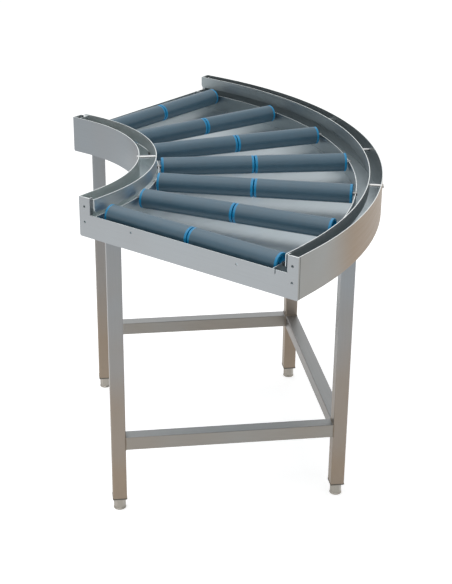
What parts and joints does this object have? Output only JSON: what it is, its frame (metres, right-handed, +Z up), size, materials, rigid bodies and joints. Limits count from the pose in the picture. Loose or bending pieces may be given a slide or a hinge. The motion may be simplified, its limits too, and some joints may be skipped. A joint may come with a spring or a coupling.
{
  "type": "curved roller conveyor",
  "caption": "Quarter-bend gravity roller table: radial split rollers in a curved stainless tray with guide walls, on square tube legs with levelling feet.",
  "frame": {"origin": "middle of the footprint on the floor", "axes": "+Z up, -Y out of the front end plate, -X out of the back end plate"},
  "size_m": [1.135, 1.148, 0.9],
  "materials": {
    "stainless_sheet": "satin brushed stainless sheet",
    "stainless_tube": "brushed stainless tube",
    "bright_steel": "plain turned stainless",
    "roller_plastic": "satin blue-grey plastic tube",
    "cap_plastic": "satin bright blue moulded plastic",
    "spacer_plastic": "white turned plastic",
    "insert_plastic": "dark grey moulded plastic",
    "foot_steel": "turned stainless"
  },
  "bodies": {
    "frame": {"tray_floor": "stainless_sheet", "inner_skirt": "stainless_sheet", "outer_skirt": "stainless_sheet", "inner_guide_wall": "stainless_sheet", "outer_guide_wall": "stainless_sheet", "inner_roller_carrier": "stainless_sheet", "outer_roller_carrier": "stainless_sheet", "front_end_plate": "stainless_sheet", "back_end_plate": "stainless_sheet", "inner_guide_end_webs": "stainless_sheet", "outer_guide_end_webs": "stainless_sheet", "tie_studs": "bright_steel", "tie_sleeves": "bright_steel", "tie_nuts": "bright_steel", "roller_axles": "bright_steel", "axle_spacers": "spacer_plastic", "front_inner_leg": "stainless_tube", "back_inner_leg": "stainless_tube", "front_outer_leg": "stainless_tube", "back_outer_leg": "stainless_tube", "front_stretcher": "stainless_tube", "back_stretcher": "stainless_tube", "outer_stretcher": "stainless_tube", "leg_top_plates": "stainless_tube", "leg_inserts": "insert_plastic", "tray_studs": "bright_steel", "tray_nuts": "bright_steel"},
    "roller_1_inner": {"roller_1_inner_tube": "roller_plastic", "roller_1_inner_caps": "cap_plastic"},
    "roller_1_outer": {"roller_1_outer_tube": "roller_plastic", "roller_1_outer_caps": "cap_plastic"},
    "roller_2_inner": {"roller_2_inner_tube": "roller_plastic", "roller_2_inner_caps": "cap_plastic"},
    "roller_2_outer": {"roller_2_outer_tube": "roller_plastic", "roller_2_outer_caps": "cap_plastic"},
    "roller_3_inner": {"roller_3_inner_tube": "roller_plastic", "roller_3_inner_caps": "cap_plastic"},
    "roller_3_outer": {"roller_3_outer_tube": "roller_plastic", "roller_3_outer_caps": "cap_plastic"},
    "roller_4_inner": {"roller_4_inner_tube": "roller_plastic", "roller_4_inner_caps": "cap_plastic"},
    "roller_4_outer": {"roller_4_outer_tube": "roller_plastic", "roller_4_outer_caps": "cap_plastic"},
    "roller_5_inner": {"roller_5_inner_tube": "roller_plastic", "roller_5_inner_caps": "cap_plastic"},
    "roller_5_outer": {"roller_5_outer_tube": "roller_plastic", "roller_5_outer_caps": "cap_plastic"},
    "roller_6_inner": {"roller_6_inner_tube": "roller_plastic", "roller_6_inner_caps": "cap_plastic"},
    "roller_6_outer": {"roller_6_outer_tube": "roller_plastic", "roller_6_outer_caps": "cap_plastic"},
    "roller_7_inner": {"roller_7_inner_tube": "roller_plastic", "roller_7_inner_caps": "cap_plastic"},
    "roller_7_outer": {"roller_7_outer_tube": "roller_plastic", "roller_7_outer_caps": "cap_plastic"},
    "front_inner_foot": {"front_inner_foot": "foot_steel"},
    "back_inner_foot": {"back_inner_foot": "foot_steel"},
    "front_outer_foot": {"front_outer_foot": "foot_steel"},
    "back_outer_foot": {"back_outer_foot": "foot_steel"}
  },
  "joints": [
    {"name": "roller_1_inner_spin", "type": "hinge", "parent": "frame", "child": "roller_1_inner", "pos_m": [0.1139, -0.532, 0.856], "axis": [1, 0, 0], "continuous": true},
    {"name": "roller_1_outer_spin", "type": "hinge", "parent": "frame", "child": "roller_1_outer", "pos_m": [0.3705, -0.532, 0.856], "axis": [1, 0, 0], "continuous": true},
    {"name": "roller_2_inner_spin", "type": "hinge", "parent": "frame", "child": "roller_2_inner", "pos_m": [0.09699, -0.36498, 0.856], "axis": [0.9732, 0.23, 0], "continuous": true},
    {"name": "roller_2_outer_spin", "type": "hinge", "parent": "frame", "child": "roller_2_outer", "pos_m": [0.34671, -0.30595, 0.856], "axis": [0.9732, 0.23, 0], "continuous": true},
    {"name": "roller_3_inner_spin", "type": "hinge", "parent": "frame", "child": "roller_3_inner", "pos_m": [0.03415, -0.21351, 0.856], "axis": [0.8805, 0.4741, 0], "continuous": true},
    {"name": "roller_3_outer_spin", "type": "hinge", "parent": "frame", "child": "roller_3_outer", "pos_m": [0.26008, -0.09185, 0.856], "axis": [0.8805, 0.4741, 0], "continuous": true},
    {"name": "roller_4_inner_spin", "type": "hinge", "parent": "frame", "child": "roller_4_inner", "pos_m": [-0.06208, -0.08178, 0.856], "axis": [0.7278, 0.6858, 0], "continuous": true},
    {"name": "roller_4_outer_spin", "type": "hinge", "parent": "frame", "child": "roller_4_outer", "pos_m": [0.12467, 0.09421, 0.856], "axis": [0.7278, 0.6858, 0], "continuous": true},
    {"name": "roller_5_inner_spin", "type": "hinge", "parent": "frame", "child": "roller_5_inner", "pos_m": [-0.18997, 0.01869, 0.856], "axis": [0.5255, 0.8508, 0], "continuous": true},
    {"name": "roller_5_outer_spin", "type": "hinge", "parent": "frame", "child": "roller_5_outer", "pos_m": [-0.05514, 0.23701, 0.856], "axis": [0.5255, 0.8508, 0], "continuous": true},
    {"name": "roller_6_inner_spin", "type": "hinge", "parent": "frame", "child": "roller_6_inner", "pos_m": [-0.33793, 0.08519, 0.856], "axis": [0.2874, 0.9578, 0], "continuous": true},
    {"name": "roller_6_outer_spin", "type": "hinge", "parent": "frame", "child": "roller_6_outer", "pos_m": [-0.2642, 0.33097, 0.856], "axis": [0.2874, 0.9578, 0], "continuous": true},
    {"name": "roller_7_inner_spin", "type": "hinge", "parent": "frame", "child": "roller_7_inner", "pos_m": [-0.49806, 0.11113, 0.856], "axis": [0.0297, 0.9996, 0], "continuous": true},
    {"name": "roller_7_outer_spin", "type": "hinge", "parent": "frame", "child": "roller_7_outer", "pos_m": [-0.49045, 0.36761, 0.856], "axis": [0.0297, 0.9996, 0], "continuous": true},
    {"name": "front_inner_foot_screw", "type": "slide", "parent": "frame", "child": "front_inner_foot", "axis": [0, 0, -1], "range_m": [0, 0.03]},
    {"name": "back_inner_foot_screw", "type": "slide", "parent": "frame", "child": "back_inner_foot", "axis": [0, 0, -1], "range_m": [0, 0.03]},
    {"name": "front_outer_foot_screw", "type": "slide", "parent": "frame", "child": "front_outer_foot", "axis": [0, 0, -1], "range_m": [0, 0.03]},
    {"name": "back_outer_foot_screw", "type": "slide", "parent": "frame", "child": "back_outer_foot", "axis": [0, 0, -1], "range_m": [0, 0.03]}
  ]
}
